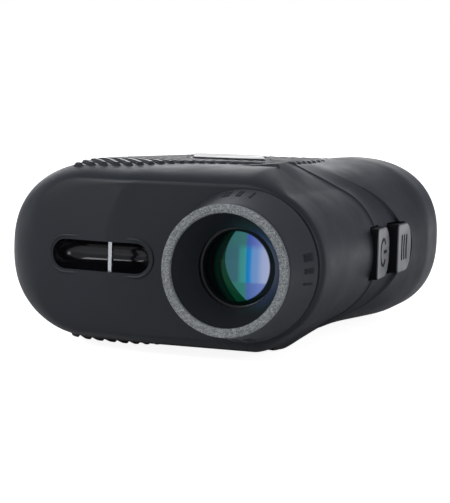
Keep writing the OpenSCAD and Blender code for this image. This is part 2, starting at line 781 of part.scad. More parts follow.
module button(y) {
    rear_x = crown_x(y) + button_rise;
    front_x = crown_x(y + button_len) - 0.1;
    intersection() {
        button_column(y, 0);
        translate([0, 0, -button_w]) linear_extrude(height = 2 * button_w)
            polygon([[0, y], [rear_x, y], [front_x, y + button_len + 1], [0, y + button_len + 1]]);
    }
    box([button_foot_x, button_foot_x + button_flange_t + skim], [y - 0.8, y + button_len + 0.8],
        [-button_flange_half_w, button_flange_half_w]);
}
module power_button() { color("#2b2d31") placed() button(power_y); }
module mode_button() { color("#2b2d31") placed() button(mode_y); }

// ---- Battery ----

module battery_tube() {
    l = battery_tube_end_x - cap_floor_x;
    color("#26272a") placed() difference() {
        rod_x(cap_floor_x, l, battery_tube_r, battery_y);
        rod_x(cap_floor_x - 1, l - 0.2, battery_tube_in_r, battery_y);
    }
}
module battery() {
    color("#c9a227") placed() {
        rod_x(battery_base_x, battery_len - 1, battery_r, battery_y);
        rod_x(battery_base_x, battery_len, 3.2, battery_y);
    }
}
module battery_contact() {
    x1 = battery_tube_end_x - 1.2;
    color("#d5d2c8") placed() {
        rod_x(x1 - 0.4, 0.4, 6, battery_y);
        rod_x(battery_base_x + battery_len, x1 - battery_base_x - battery_len, 2.4, battery_y);
    }
}
module about_cap() translate([0, battery_y, 0]) rotate([0, 90, 0]) children();
module cap_seal_ring() about_cap() rotate_extrude()
    translate([(battery_tube_in_r + battery_tube_r) / 2, cap_floor_x - cap_seal_r]) circle(cap_seal_r, $fn = 24);
module battery_cap() {
    spigot_r = battery_tube_in_r - running_gap;
    dome = arc_profile(cap_flange_r, cap_crown_x, cap_dome);
    color("#2a2c2f") placed() difference() {
        about_cap() rotate_extrude() polygon(concat(dome, [
            [cap_flange_r, cap_floor_x - 0.1], [spigot_r, cap_floor_x - 0.1],
            [spigot_r, cap_floor_x + cap_spigot_len], [0, cap_floor_x + cap_spigot_len]
        ]));
        cap_seal_ring();
        translate([cap_crown_x - 1, battery_y - coin_slot_w / 2, -coin_slot_len / 2])
            cube([1 + coin_slot_depth, coin_slot_w, coin_slot_len]);
    }
}
module cap_contact() {
    color("#d5d2c8") placed() rod_x(cap_floor_x + cap_spigot_len + 0.02, cap_contact_t, 6.5, battery_y);
}
module cap_seal() { color("#0c0c0d") placed() cap_seal_ring(); }

main_casing();
front_bezel();
bezel_gasket();
bezel_screws();
left_grip();
right_grip();
strap_bar();
eyepiece_barrel();
barrel_nut();
diopter_ring();
eyecup_rim();
eyecup_funnel();
lens_cell();
lens_retainer();
eye_lens();
lens_spacer();
field_lens();
field_lens_retainer();
cell_seal();
reticle_holder();
reticle_display();
prism_holder();
rear_prism();
roof_prism();
objective_barrel();
objective_crown_lens();
objective_flint_lens();
objective_retainer();
receiver_barrel();
receiver_lens();
receiver_retainer();
detector_board();
detector();
laser_module();
laser_lens();
main_board();
board_chips();
board_screws();
switch_board();
power_switch();
mode_switch();
flex_cable();
power_button();
mode_button();
battery_tube();
battery();
battery_contact();
battery_cap();
cap_contact();
cap_seal();
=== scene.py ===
"""Looks of the laser rangefinder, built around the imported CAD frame.

Lengths are in millimetres until w() turns device coordinates (origin on the eyepiece axis at the rear face)
into metres in the row frame.
"""
import math

import bmesh
import bpy
import numpy as np
from mathutils import Matrix, Vector


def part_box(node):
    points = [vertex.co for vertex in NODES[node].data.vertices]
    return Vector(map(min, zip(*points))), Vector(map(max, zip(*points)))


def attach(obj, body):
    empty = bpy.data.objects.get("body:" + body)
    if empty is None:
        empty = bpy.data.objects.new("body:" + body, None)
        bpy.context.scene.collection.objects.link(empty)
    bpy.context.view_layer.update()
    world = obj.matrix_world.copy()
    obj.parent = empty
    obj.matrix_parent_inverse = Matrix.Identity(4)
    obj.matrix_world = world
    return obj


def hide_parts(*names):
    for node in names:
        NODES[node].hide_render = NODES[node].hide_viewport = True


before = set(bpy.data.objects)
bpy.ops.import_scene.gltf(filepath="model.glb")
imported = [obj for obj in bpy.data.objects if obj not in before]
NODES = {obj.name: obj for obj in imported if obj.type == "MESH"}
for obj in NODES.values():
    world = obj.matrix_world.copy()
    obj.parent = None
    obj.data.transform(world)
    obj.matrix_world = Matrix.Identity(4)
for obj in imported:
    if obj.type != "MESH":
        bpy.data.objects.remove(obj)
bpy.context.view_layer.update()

# ---- Sizes shared with the CAD, in mm ----
HALF_W, LAND_Z = 19.6, 20.6
BODY_LEN, BASE_DROP, HOOD_RISE, WALL = 98.0, 60.5, 19.2, 2.2
BARREL_R, FLANGE_R, RIM_R, RIM_IN_R, RING_BASE_R = 12.0, 13.4, 13.14, 11.31, 15.54
RIM_Y, RIM_T, CUFF_T, RING_FRONT_Y = -13.05, 1.0, 0.5, -0.25
CELL_REAR_Y, CELL_IN_R, EYE_OPENING_R, RETAINER_T = -4.2, 9.0, 7.66, 1.2
FUNNEL_END_Y, FUNNEL_END_R, FUNNEL_WALL = -5.4, 8.11, 0.5
HOUSING_R, HOOD_C, HOOD_N = 16.54, -4.4, 2.45
BASE_END_LEN, BASE_C = 24.0, 24.0 - BASE_DROP
SHOULDER, TOP_ROUND_LEN, SIDE_ROUND, SIDE_ROUND_LEN = 1.0, 2.0, 3.8, 20.0
BASE_ROUND, BASE_ROUND_LEN = 14.0, 13.0
CREASE_X, CREASE_R, REAR_LEAN = -3.0, 28.5, 0.19
RIDGE_CROWN_Y, RIDGE_SWEEP = BODY_LEN - 54, 19.0
STEP_CROWN_Y, STEP_SWEEP = BODY_LEN - 28, 25.0
HOOD_Y, EDGE_ROUND, CAP_CENTER_X = BODY_LEN - 12, 0.8, -14.0
BEZEL_OPEN, BEZEL_RECESS, BEZEL_T, GASKET_T = 1.2, 0.8, 2.5, 0.5
LEDGE_Y = BODY_LEN - BEZEL_RECESS - BEZEL_T - GASKET_T
SLOT_W, SLOT_LEN, SLOT_TOP_X, SLOT_DEPTH = 6.6, 23.6, -21.0, 9.0
SLOT_MID_X = SLOT_TOP_X - SLOT_LEN / 2
BUTTON_W, BUTTON_LEN, BUTTON_RISE = 11.6, 14.5, 1.6
POWER_Y, MODE_Y = BODY_LEN - 57.4, BODY_LEN - 39.3
BUTTON_FOOT_DROP = 2.63
BUTTON_FOOT_X = HOUSING_R - WALL - BUTTON_FOOT_DROP
BATTERY_R, BATTERY_GAP, TUBE_WALL, CAP_FLANGE, FREE_GAP, BATTERY_Y = 7.8, 0.3, 1.2, 1.3, 0.3, 30.0
CAP_WELL_R = BATTERY_R + BATTERY_GAP + TUBE_WALL + CAP_FLANGE + FREE_GAP
SHIFT = np.array([(BASE_DROP - HOOD_RISE) / 2, (-RIM_Y - BODY_LEN) / 2, LAND_Z])


def w(points):
    """Device millimetres to row-frame metres."""
    return (np.asarray(points, float) + SHIFT) / 1000.0


# ---- Mesh helpers ----
def add_mesh(name, verts, faces, material, sharp=35.0):
    mesh = bpy.data.meshes.new(name)
    mesh.from_pydata([tuple(p) for p in w(verts)], [], faces)
    mesh.validate()
    bm = bmesh.new()
    bm.from_mesh(mesh)
    bmesh.ops.recalc_face_normals(bm, faces=bm.faces)
    bm.to_mesh(mesh)
    bm.free()
    mesh.shade_smooth()
    mesh.set_sharp_from_angle(angle=math.radians(sharp))
    obj = bpy.data.objects.new(name, mesh)
    bpy.context.scene.collection.objects.link(obj)
    mesh.materials.append(material)
    return obj


def piece(obj, body, slot, *replaced):
    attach(obj, body)
    if replaced:
        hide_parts(*replaced)
    return obj


def ring_faces(first, second, count, closed=True):
    last = count if closed else count - 1
    return [(first + i, first + (i + 1) % count, second + (i + 1) % count, second + i) for i in range(last)]


def loft(rings, start_pole=None, end_pole=None, looped=False):
    """Quads between closed rings of the same length, with an optional point that closes each end."""
    count = len(rings[0])
    verts = np.concatenate([np.asarray(r, float) for r in rings])
    faces = []
    for k in range(len(rings) - 1):
        faces += ring_faces(k * count, (k + 1) * count, count)
    if looped:
        faces += ring_faces((len(rings) - 1) * count, 0, count)
    for pole, base in ((start_pole, 0), (end_pole, (len(rings) - 1) * count)):
        if pole is not None:
            tip = len(verts)
            verts = np.vstack([verts, [pole]])
            faces += [(base + i, base + (i + 1) % count, tip) for i in range(count)]
    return verts, faces


def lathe(profile, segments=144):
    """Closed ring turned about the eyepiece axis from a closed profile of (radius, y)."""
    a = np.linspace(0, 2 * math.pi, segments, endpoint=False)
    rings = [np.stack([r * np.cos(a), np.full(segments, y), r * np.sin(a)], 1) for r, y in profile]
    return loft(rings, looped=True)


def smooth(k):
    k = np.clip(k, 0, 1)
    return k * k * (3 - 2 * k)


# ---- Casing surface ----
STEP_DROP, DIP_DEPTH, BEAD_RISE, BEAD_SPREAD = 0.95, 0.4, 0.32, 0.42
SHOULDER_SWELL, FLANK_SWELL, FAR_TAPER = 0.95, 0.95, 0.1
BOX_GAP = 0.03  # keeps the flank inside the CAD box
CASING_SHARP = 28

# One entry per spot of the half outline: the crown at 0 degrees, the flat flank at 90, the base end at 180.
TOP_N, FLANK_N, BASE_N = 72, 26, 60
ANGLES = np.concatenate([
    np.linspace(0, 90, TOP_N + 1), [90] * (FLANK_N + 1), 90 + 90 * np.linspace(0, 1, BASE_N + 1)[1:]])
ON_BASE = np.arange(len(ANGLES)) > TOP_N + FLANK_N
# Share of the way along the flank
ALONG = np.concatenate([np.zeros(TOP_N + 1), np.linspace(0, 1, FLANK_N + 2)[1:-1], np.ones(BASE_N + 1)])
COS, SIN = np.cos(np.radians(ANGLES)), np.sin(np.radians(ANGLES))
COS[ANGLES == 90] = 0
FLARE = np.where(ANGLES <= 60, 0, ((np.clip(ANGLES, 60, 90) - 60) / 30) ** 1.5)
TURN = np.clip(ANGLES / 90, 0, 1)
BASE_TURN = smooth((ANGLES - 90) / 90)
RIDGE_Y = RIDGE_CROWN_Y - RIDGE_SWEEP * TURN ** 4
STEP_Y = STEP_CROWN_Y - STEP_SWEEP * TURN
STEP_H = STEP_DROP * (1 - smooth(ANGLES / 74))
DIP_H = DIP_DEPTH * (1 - 0.5 * smooth((ANGLES - 40) / 50)) * (1 - ALONG)
RIDGE_H = BEAD_RISE * smooth((ANGLES - 4) / 12) * (1 - smooth(ALONG * 5))
ROUND_IN = np.where(ON_BASE, SIDE_ROUND + (BASE_ROUND - SIDE_ROUND) * BASE_TURN,
                    SHOULDER + (SIDE_ROUND - SHOULDER) * FLARE)
ROUND_LEN = np.where(ON_BASE, SIDE_ROUND_LEN + (BASE_ROUND_LEN - SIDE_ROUND_LEN) * BASE_TURN,
                     TOP_ROUND_LEN + (SIDE_ROUND_LEN - TOP_ROUND_LEN) * FLARE)


def growth(y):
    """Share of the way from the narrow rear housing to the full hood."""
    k = np.clip((y - RIDGE_Y) / (HOOD_Y - RIDGE_Y), 0, 1)
    return k ** (2 - SIN)


def far_taper(y):
    """How far the flanks draw in towards the front."""
    return FAR_TAPER * smooth((np.asarray(y) - 30) / 66)


def shoulder_bump(x, y):
    """Swelling of the flank where the ridge meets it."""
    return np.exp(-((x - 0.5) / 5.5) ** 2 - ((y - 25) / 7) ** 2)


def outline(y, d, detail=True):
    """Half outline at y (one value or one per spot), moved in by d: (x, z) arrays."""
    y = np.broadcast_to(np.asarray(y, float), ANGLES.shape)
    r = HOUSING_R + (HALF_W - HOUSING_R) * FLARE
    g = growth(y)
    hx, hz = HOOD_C + (HOOD_RISE - HOOD_C) * np.abs(COS) ** (2 / HOOD_N), HALF_W * SIN ** (2 / HOOD_N)
    top_x, top_z = r * COS * (1 - g) + hx * g, r * SIN * (1 - g) + hz * g
    power = 2 / (2.3 + 0.7 * np.minimum(1, y / 40))
    top_x = np.where(ON_BASE, top_x, top_x + (BASE_C - top_x) * ALONG)
    base_x = BASE_C - BASE_END_LEN * np.abs(COS) ** power
    base_z = HALF_W * SIN ** power
    x, z = np.where(ON_BASE, base_x, top_x), np.where(ON_BASE, base_z, top_z)
    inset = np.full_like(x, d)
    if detail:
        k = np.clip((y - RIDGE_Y) / (STEP_Y - RIDGE_Y), 0, None)
        before = 1 - smooth((y - STEP_Y) / 0.7 + 0.2)
        bead_h = RIDGE_H * np.exp(-((y - RIDGE_Y) / BEAD_SPREAD) ** 2)
        sunk = STEP_H * smooth(k * 1.5) + DIP_H * np.sin(np.pi * np.clip(k, 0, 1) ** 0.7) - bead_h
        inset = inset + np.where(ON_BASE, 0, sunk * before)
    x, z = x - inset * COS, z - inset * SIN
    z = z * (1 - far_taper(y) / HALF_W * np.abs(SIN) ** 2)
    if detail and np.ndim(d) == 0 and d < EDGE_ROUND + 0.01:
        z = z + SHOULDER_SWELL * shoulder_bump(x, y) * np.abs(SIN) ** 4
        flank = smooth((x + 11) / 7) * smooth((y - 52) / 34) * np.abs(SIN) ** 1.5
        z = z + np.where(ON_BASE, 0, FLANK_SWELL * flank)
    return x, np.minimum(z, LAND_Z - BOX_GAP)


def lean(x, z):
    """How far the rear face leans away outside the round crease."""
    return np.clip(np.hypot(x - CREASE_X, z) - CREASE_R, 0, None) * REAR_LEAN


def full(x, y, z):
    """Closed ring from a half outline and its mirror image."""
    y = np.broadcast_to(y, x.shape)
    half = np.stack([x, y, z], 1)
    other = half[-2:0:-1] * [1, 1, -1]
    return np.concatenate([half, other])


def edge_ring(turn, d, detail=True):
    turn = math.radians(turn)
    y = ROUND_LEN * (1 - math.cos(turn))
    x, z = outline(y, d + ROUND_IN * (1 - math.sin(turn)), detail)
    return full(x, lean(x, z) + y + d * math.cos(turn), z)


def face_rings(d, fractions_in, fractions_out):
    """Rings from the middle of the rear face to its edge, with one ring exactly on the crease."""
    ex, ez = outline(0, d + ROUND_IN, False)
    dx, dz = ex - CAP_CENTER_X, ez
    ox = CAP_CENTER_X - CREASE_X
    a, b, c = dx ** 2 + dz ** 2, 2 * ox * dx, ox ** 2 - CREASE_R ** 2
    k_crease = np.clip((-b + np.sqrt(b * b - 4 * a * c)) / (2 * a), 0.2, 0.93)
    rings = [k * k_crease for k in fractions_in] + [k_crease + k * (1 - k_crease) for k in fractions_out]
    return [full(CAP_CENTER_X + dx * k, lean(CAP_CENTER_X + dx * k, dz * k) + d, dz * k) for k in rings]


def side_ring(y, d, detail=True):
    x, z = outline(y, d, detail)
    return full(x, y, z)


def mixed(a, b, ks):
    return [a + (b - a) * k for k in ks]


def casing_mesh():
    """Outer skin from the rear face to the front edge, then back along the inside to a second pole."""
    ridge_reach, step_reach, inner_d = 1.1, 0.8, WALL + 1.4
    near_ridge = (-0.85, -0.6, -0.42, -0.26, -0.12, 0, 0.12, 0.26, 0.42, 0.6, 0.85)
    to_step = (0, 0.06, 0.14, 0.2, 0.3, 0.4, 0.5, 0.6, 0.7, 0.8, 0.88, 0.94)
    outer = face_rings(0, [0.1, 0.25, 0.4, 0.55, 0.7, 0.82, 0.91, 0.965, 1], [0.06, 0.2, 0.4, 0.6, 0.8, 1])
    outer += [edge_ring(t, 0) for t in (8, 16, 24, 32, 40, 48, 56, 64, 72, 80, 90)]
    edge_y = edge_ring(90, 0)[: len(ANGLES), 1]
    outer += [side_ring(y, 0) for y in mixed(edge_y, RIDGE_Y - ridge_reach, np.linspace(0, 1, 15)[1:])]
    outer += [side_ring(RIDGE_Y + s, 0) for s in near_ridge]
    outer += [side_ring(y, 0) for y in mixed(RIDGE_Y + ridge_reach, STEP_Y, to_step)]
    outer += [side_ring(STEP_Y + s, 0) for s in (-0.14, 0.0, 0.14, 0.28, 0.42, 0.56, step_reach)]
    outer += [side_ring(y, 0) for y in mixed(STEP_Y + step_reach, HOOD_Y, np.linspace(0, 1, 13)[1:])]
    last_y = BODY_LEN - EDGE_ROUND
    outer += [side_ring(y, 0) for y in np.linspace(HOOD_Y, last_y, 5)[1:]]
    for t in (22.5, 45, 67.5, 90):
        t = math.radians(t)
        outer.append(side_ring(last_y + EDGE_ROUND * math.sin(t), EDGE_ROUND * (1 - math.cos(t))))
    inner = [side_ring(BODY_LEN, BEZEL_OPEN), side_ring(LEDGE_Y, BEZEL_OPEN)]
    inner += [side_ring(y, inner_d, False) for y in (LEDGE_Y, 80, 60, 45, 32, 20)]
    inner += [edge_ring(t, WALL) for t in (90, 60, 30)]
    inner += face_rings(WALL, [0.4, 0.8], [0.5, 1])[::-1]
    return loft(outer + inner, start_pole=[CAP_CENTER_X, 0, 0], end_pole=[CAP_CENTER_X, WALL, 0])


# ---- Materials ----
MOTTLING = 60.0


def material(name):
    mat = bpy.data.materials.new(name)
    mat.use_nodes = True
    tree = mat.node_tree
    return mat, tree, tree.nodes["Principled BSDF"]


def node(tree, kind, **settings):
    """New node; each setting goes to the input of that name, or to the property of that name."""
    n = tree.nodes.new(kind)
    for key, value in settings.items():
        if key in n.inputs:
            n.inputs[key].default_value = value
        else:
            setattr(n, key, value)
    return n


def ramp(tree, factor, stops):
    n = tree.nodes.new("ShaderNodeValToRGB")
    while len(n.color_ramp.elements) < len(stops):
        n.color_ramp.elements.new(0.5)
    for element, (position, colour) in zip(n.color_ramp.elements, stops):
        element.position = position
        element.color = (*colour, 1)
    tree.links.new(factor, n.inputs["Fac"])
    return n.outputs["Color"]


def grey_ramp(tree, factor, *stops):
    """Ramp between greys, each stop a (position, level)."""
    return ramp(tree, factor, [(position, (level,) * 3) for position, level in stops])


def varied(tree, factor, colour, *stops):
    """Ramp between shades of one colour, each stop a (position, times)."""
    c = np.array(colour)
    return ramp(tree, factor, [(position, tuple(np.minimum(1, c * times))) for position, times in stops])


def noise(tree, scale, detail=4.0, roughness=0.5):
    coords = tree.nodes.new("ShaderNodeTexCoord")
    n = node(tree, "ShaderNodeTexNoise", Scale=scale, Detail=detail, Roughness=roughness)
    tree.links.new(coords.outputs["Object"], n.inputs["Vector"])
    return n.outputs["Fac"]


def grained(name, colour, rough, grain=4200.0, bump=0.00003, spread=0.12, rough_spread=0.08, metallic=0.0,
            specular=0.5, strength=0.5, coat=0.0):
    """Moulded or machined surface: mottled colour, uneven roughness and a fine grain."""
    mat, tree, bsdf = material(name)
    broad = noise(tree, MOTTLING, 5.0, 0.6)
    fine = noise(tree, grain, 2.0, 0.5)
    both = node(tree, "ShaderNodeMath", operation="ADD")
    tree.links.new(broad, both.inputs[0])
    scaled = node(tree, "ShaderNodeMath", operation="MULTIPLY_ADD")
    tree.links.new(fine, scaled.inputs[0])
    scaled.inputs[1].default_value, scaled.inputs[2].default_value = 0.5, -0.25
    tree.links.new(scaled.outputs[0], both.inputs[1])
    shade = varied(tree, both.outputs[0], colour, (0.25, 1 - spread), (0.75, 1 + spread))
    tree.links.new(shade, bsdf.inputs["Base Color"])
    lo, hi = max(0.02, rough - rough_spread), min(1.0, rough + rough_spread)
    tree.links.new(grey_ramp(tree, broad, (0.3, lo), (0.7, hi)), bsdf.inputs["Roughness"])
    b = node(tree, "ShaderNodeBump", Strength=strength, Distance=bump)
    tree.links.new(fine, b.inputs["Height"])
    tree.links.new(b.outputs["Normal"], bsdf.inputs["Normal"])
    bsdf.inputs["Metallic"].default_value = metallic
    bsdf.inputs["Specular IOR Level"].default_value = specular
    bsdf.inputs["Coat Weight"].default_value = coat
    return mat


def brushed(name, colour, rough):
    """Bare metal with fine streaks along X."""
    mat, tree, bsdf = material(name)
    coords = tree.nodes.new("ShaderNodeTexCoord")
    mapping = node(tree, "ShaderNodeMapping", Scale=(60, 6000, 6000))
    tree.links.new(coords.outputs["Object"], mapping.inputs["Vector"])
    n = node(tree, "ShaderNodeTexNoise", Scale=1.0, Detail=3.0)
    tree.links.new(mapping.outputs["Vector"], n.inputs["Vector"])
    streaks = n.outputs["Fac"]
    tree.links.new(varied(tree, streaks, colour, (0.3, 0.85), (0.7, 1.1)), bsdf.inputs["Base Color"])
    tree.links.new(grey_ramp(tree, streaks, (0.3, rough * 0.8), (0.7, rough * 1.3)), bsdf.inputs["Roughness"])
    bsdf.inputs["Metallic"].default_value = 1.0
    return mat


def glass(name, tint, roughness=0.02):
    mat, tree, bsdf = material(name)
    shade = varied(tree, noise(tree, 90, 2.0), tint, (0.3, 0.92), (0.7, 1.05))
    tree.links.new(shade, bsdf.inputs["Base Color"])
    bsdf.inputs["Transmission Weight"].default_value = 1.0
    bsdf.inputs["Roughness"].default_value = roughness
    bsdf.inputs["IOR"].default_value = 1.52
    return mat


def painted_reflection_lens(name, centre, radius):
    """Ocular with the coating's reflection painted on: coloured bands of painted reflection, given off as
    emission over a near-black base.

    They lie in the object's own coordinates, so they don't move with the view as a real coating's colours do.
    """
    mat, tree, bsdf = material(name)
    links = tree.links
    coords = tree.nodes.new("ShaderNodeTexCoord")
    split = tree.nodes.new("ShaderNodeSeparateXYZ")
    links.new(coords.outputs["Object"], split.inputs[0])

    def math_node(operation, a, b=None, c=None):
        n = node(tree, "ShaderNodeMath", operation=operation)
        for i, value in enumerate((a, b, c)):
            if value is None:
                continue
            if isinstance(value, (int, float)):
                n.inputs[i].default_value = value
            else:
                links.new(value, n.inputs[i])
        return n.outputs[0]

    def mix(factor, a, b):
        n = tree.nodes.new("ShaderNodeMix")
        n.data_type = "RGBA"
        links.new(factor, n.inputs["Factor"])
        for key, value in (("A", a), ("B", b)):
            socket = [s for s in n.inputs if s.name == key and s.type == "RGBA"][0]
            if isinstance(value, tuple):
                socket.default_value = (*value, 1)
            else:
                links.new(value, socket)
        return [s for s in n.outputs if s.type == "RGBA"][0]

    # u runs across the glass and v up it, both -1 to 1 at the edge of the opening.
    u = math_node("MULTIPLY_ADD", split.outputs["X"], 1000.0 / radius, -centre[0] * 1000.0 / radius)
    v = math_node("MULTIPLY_ADD", split.outputs["Z"], 1000.0 / radius, -centre[2] * 1000.0 / radius)
    v2 = math_node("MULTIPLY", v, v)
    outer = math_node("MULTIPLY_ADD", v2, -0.50, u)
    tilted = math_node("MULTIPLY_ADD", v, 0.22, outer)
    across = math_node("MULTIPLY_ADD", u, 0.5, 0.5)
    # The emission colours below are painted reflection of the lens coating: bands, a tilted edge and a darker
    # rim.
    base = ramp(tree, math_node("MULTIPLY_ADD", outer, 0.5, 0.5), [
        (0.10, (0.0004, 0.001, 0.001)), (0.17, (0.0006, 0.010, 0.006)), (0.22, (0.0006, 0.004, 0.003)),
        (0.245, (0.001, 0.036, 0.015)), (0.6, (0.0015, 0.028, 0.013))])
    band = ramp(tree, across, [
        (0.30, (0.030, 0.11, 0.135)), (0.45, (0.036, 0.12, 0.147)), (0.50, (0.036, 0.22, 0.22)),
        (0.565, (0.036, 0.26, 0.27)), (0.585, (0.009, 0.17, 0.44)), (0.625, (0.009, 0.20, 0.50)),
        (0.66, (0.12, 0.25, 0.52)), (0.72, (0.14, 0.26, 0.52)), (0.80, (0.30, 0.36, 0.56)),
        (0.88, (0.34, 0.38, 0.58))])
    upper = ramp(tree, across, [
        (0.3, (0.028, 0.12, 0.12)), (0.55, (0.036, 0.15, 0.15)), (0.60, (0.045, 0.09, 0.36)),
        (0.74, (0.13, 0.17, 0.44)), (0.88, (0.30, 0.33, 0.52))])
    lower = ramp(tree, across, [
        (0.3, (0.024, 0.15, 0.13)), (0.55, (0.028, 0.178, 0.153)), (0.60, (0.06, 0.12, 0.36)),
        (0.78, (0.13, 0.19, 0.47)), (0.9, (0.22, 0.25, 0.50))])
    high = grey_ramp(tree, v, (0.45, 0), (0.62, 1))
    low = grey_ramp(tree, math_node("MULTIPLY", v, -1.0), (0.38, 0), (0.44, 1))
    inner = mix(low, mix(high, band, upper), lower)
    edge = grey_ramp(tree, math_node("MULTIPLY_ADD", tilted, 0.5, 0.5), (0.288, 0), (0.296, 1))
    colour = mix(edge, base, inner)
    aside = math_node("ADD", u, 0.14)
    from_rim = math_node("SQRT", math_node("ADD", math_node("MULTIPLY", aside, aside), v2))
    rim = grey_ramp(tree, from_rim, (0.91, 0), (0.94, 1))
    colour = mix(rim, colour, (0.0008, 0.003, 0.0025))
    # The base colour follows the same edge, so it is part of the painted reflection too.
    dark = mix(edge, (0.0015, 0.002, 0.002), (0.003, 0.006, 0.008))
    links.new(dark, bsdf.inputs["Base Color"])
    links.new(colour, bsdf.inputs["Emission Color"])
    bsdf.inputs["Emission Strength"].default_value = 1.0
    bsdf.inputs["Roughness"].default_value = 0.04
    bsdf.inputs["Specular IOR Level"].default_value = 0.12
    return mat


def speckled(name):
    """Grey eyecup rubber with light and dark grains."""
    mat, tree, bsdf = material(name)
    coords = tree.nodes.new("ShaderNodeTexCoord")
    cells = node(tree, "ShaderNodeTexVoronoi", Scale=5200.0)
    tree.links.new(coords.outputs["Object"], cells.inputs["Vector"])
    split = node(tree, "ShaderNodeSeparateColor")
    tree.links.new(cells.outputs["Color"], split.inputs[0])
    grains = split.outputs[0]
    shade = ramp(tree, grains, [(0.0, (0.10, 0.105, 0.105)), (0.35, (0.16, 0.17, 0.17)),
                                (0.7, (0.23, 0.24, 0.24)), (1.0, (0.35, 0.36, 0.36))])
    tree.links.new(shade, bsdf.inputs["Base Color"])
    b = node(tree, "ShaderNodeBump", Strength=0.7, Distance=0.00008)
    tree.links.new(grains, b.inputs["Height"])
    tree.links.new(b.outputs["Normal"], bsdf.inputs["Normal"])
    bsdf.inputs["Roughness"].default_value = 0.75
    return mat


M = {
    "casing": grained("casing_plastic", (0.0105, 0.0125, 0.0165), 0.48, grain=5200, bump=0.00002,
                      strength=0.35, specular=0.36),
    "front": grained("front_plastic", (0.012, 0.013, 0.015), 0.42, grain=5200, bump=0.00002, strength=0.3),
    "grip": grained("grip_rubber", (0.010, 0.011, 0.013), 0.36, grain=3800, bump=0.00002, strength=0.3),
    "diopter": grained("diopter_rubber", (0.014, 0.015, 0.019), 0.42, grain=4600, bump=0.00002, strength=0.3),
    "marks": grained("mark_rubber", (0.006, 0.006, 0.008), 0.45, grain=4600, bump=0.00001, strength=0.3,
                     specular=0.25),
    "funnel": grained("funnel_black", (0.016, 0.016, 0.019), 0.45, strength=0.35, rough_spread=0.06,
                      specular=0.22),
    "pocket": grained("pocket_black", (0.005, 0.005, 0.006), 0.14, grain=900, bump=0.00002, strength=0.2,
                      rough_spread=0.05),
    "button": grained("button_satin", (0.032, 0.035, 0.042), 0.38, grain=5200, bump=0.00001, strength=0.3,
                      specular=0.8),
    # Dark print for the button icons, also laid on the button side walls as painted shade.
    "print_and_shade": grained("button_print_and_painted_shade", (0.003, 0.003, 0.004), 0.55, grain=5200, bump=0.00001, specular=0.1),
    "steel": brushed("polished_pin", (0.70, 0.71, 0.72), 0.22),
    "screw": brushed("dark_screw", (0.09, 0.09, 0.095), 0.3),
    "black_metal": grained("anodised_black", (0.008, 0.008, 0.009), 0.3, grain=2600, bump=0.00001,
                           metallic=0.6),
    "retainer": grained("retainer_ring", (0.006, 0.006, 0.007), 0.26, grain=2600, bump=0.00001, specular=0.4),
    "inner": grained("inner_plastic", (0.012, 0.012, 0.013), 0.6, grain=3000),
    "seal": grained("seal_rubber", (0.008, 0.008, 0.008), 0.55, grain=2000),
    "board": grained("solder_mask", (0.012, 0.11, 0.04), 0.35, grain=900, spread=0.3),
    "chip": grained("chip_epoxy", (0.015, 0.015, 0.016), 0.5, grain=3000),
    "can": brushed("plated_can", (0.62, 0.62, 0.60), 0.3),
    "brass": brushed("turned_brass", (0.72, 0.52, 0.22), 0.28),
    "flex": grained("flex_film", (0.35, 0.14, 0.02), 0.3, grain=500, spread=0.2),
    "battery": grained("battery_skin", (0.02, 0.03, 0.07), 0.25, grain=500, spread=0.2, coat=0.3),
    "contact": brushed("contact_strip", (0.78, 0.70, 0.50), 0.25),
    "glass": glass("lens_glass", (0.80, 0.93, 0.90)),
    "prism": glass("prism_glass", (0.86, 0.93, 0.92)),
    "display": glass("display_glass", (0.45, 0.52, 0.46), 0.08),
    "rim": speckled("eyecup_speckle"),
}


# ---- Camera: focal length in parts of a frame whose long side is LONG_SIDE parts ----
AZ, EL, ROLL, DIST = math.radians(19.65), math.radians(5.13), math.radians(1.56), 300.0
FOCAL, LONG_SIDE, SENSOR_MM = 1475.3, 503.0, 36.0
TARGET = np.array([-4.46, 0.0, 2.63])
forward = np.array([-math.sin(AZ) * math.cos(EL), math.cos(AZ) * math.cos(EL), -math.sin(EL)])
right = np.array([math.cos(AZ), math.sin(AZ), 0.0])
up = np.cross(right, forward)
cam_right = right * math.cos(ROLL) + up * math.sin(ROLL)
cam_up = up * math.cos(ROLL) - right * math.sin(ROLL)
cam_data = bpy.data.cameras.new("camera")
cam_data.sensor_width = SENSOR_MM
cam_data.lens = FOCAL * SENSOR_MM / LONG_SIDE
cam_data.clip_start, cam_data.clip_end = 0.01, 20.0
camera = bpy.data.objects.new("camera", cam_data)
bpy.context.scene.collection.objects.link(camera)
rows = np.stack([cam_right, cam_up, -forward], 1)
placed = Matrix([[*rows[0], 0], [*rows[1], 0], [*rows[2], 0], [0, 0, 0, 1]])
placed.translation = Vector(w(TARGET - forward * DIST))
camera.matrix_world = placed
bpy.context.scene.camera = camera


# ---- Casing ----
casing = add_mesh("casing_shell", *casing_mesh(), M["casing"], sharp=CASING_SHARP)


def stadium(half_reach, radius, steps=24):
    """Slot outline in (x, z) about its middle."""
    turns = [math.radians(t) for t in np.linspace(90, -90, steps)]
    right_end = [(half_reach + radius * math.cos(t), radius * math.sin(t)) for t in turns]
    return np.array(right_end + [(-x, -z) for x, z in right_end])


def d_outline(y0, grow, steps=32):
    """Button outline in (y, z): a straight rear edge with small corners and a round front end."""
    half, straight, corner = BUTTON_W / 2 + grow, BUTTON_LEN - BUTTON_W / 2, 0.9
    turns = [math.radians(t) for t in np.linspace(0, 180, steps)]
    points = [(y0 + straight + half * math.sin(t), half * math.cos(t)) for t in turns]
    turns = [math.radians(t) for t in np.linspace(0, 90, 6)]
    rear = y0 - grow
    points += [(rear + corner * (1 - math.sin(t)), -half + corner * (1 - math.cos(t))) for t in turns]
    points += [(rear + corner * (1 - math.cos(t)), half - corner * (1 - math.sin(t))) for t in turns]
    return np.array(points)


SLOT_REACH = (SLOT_LEN - SLOT_W) / 2


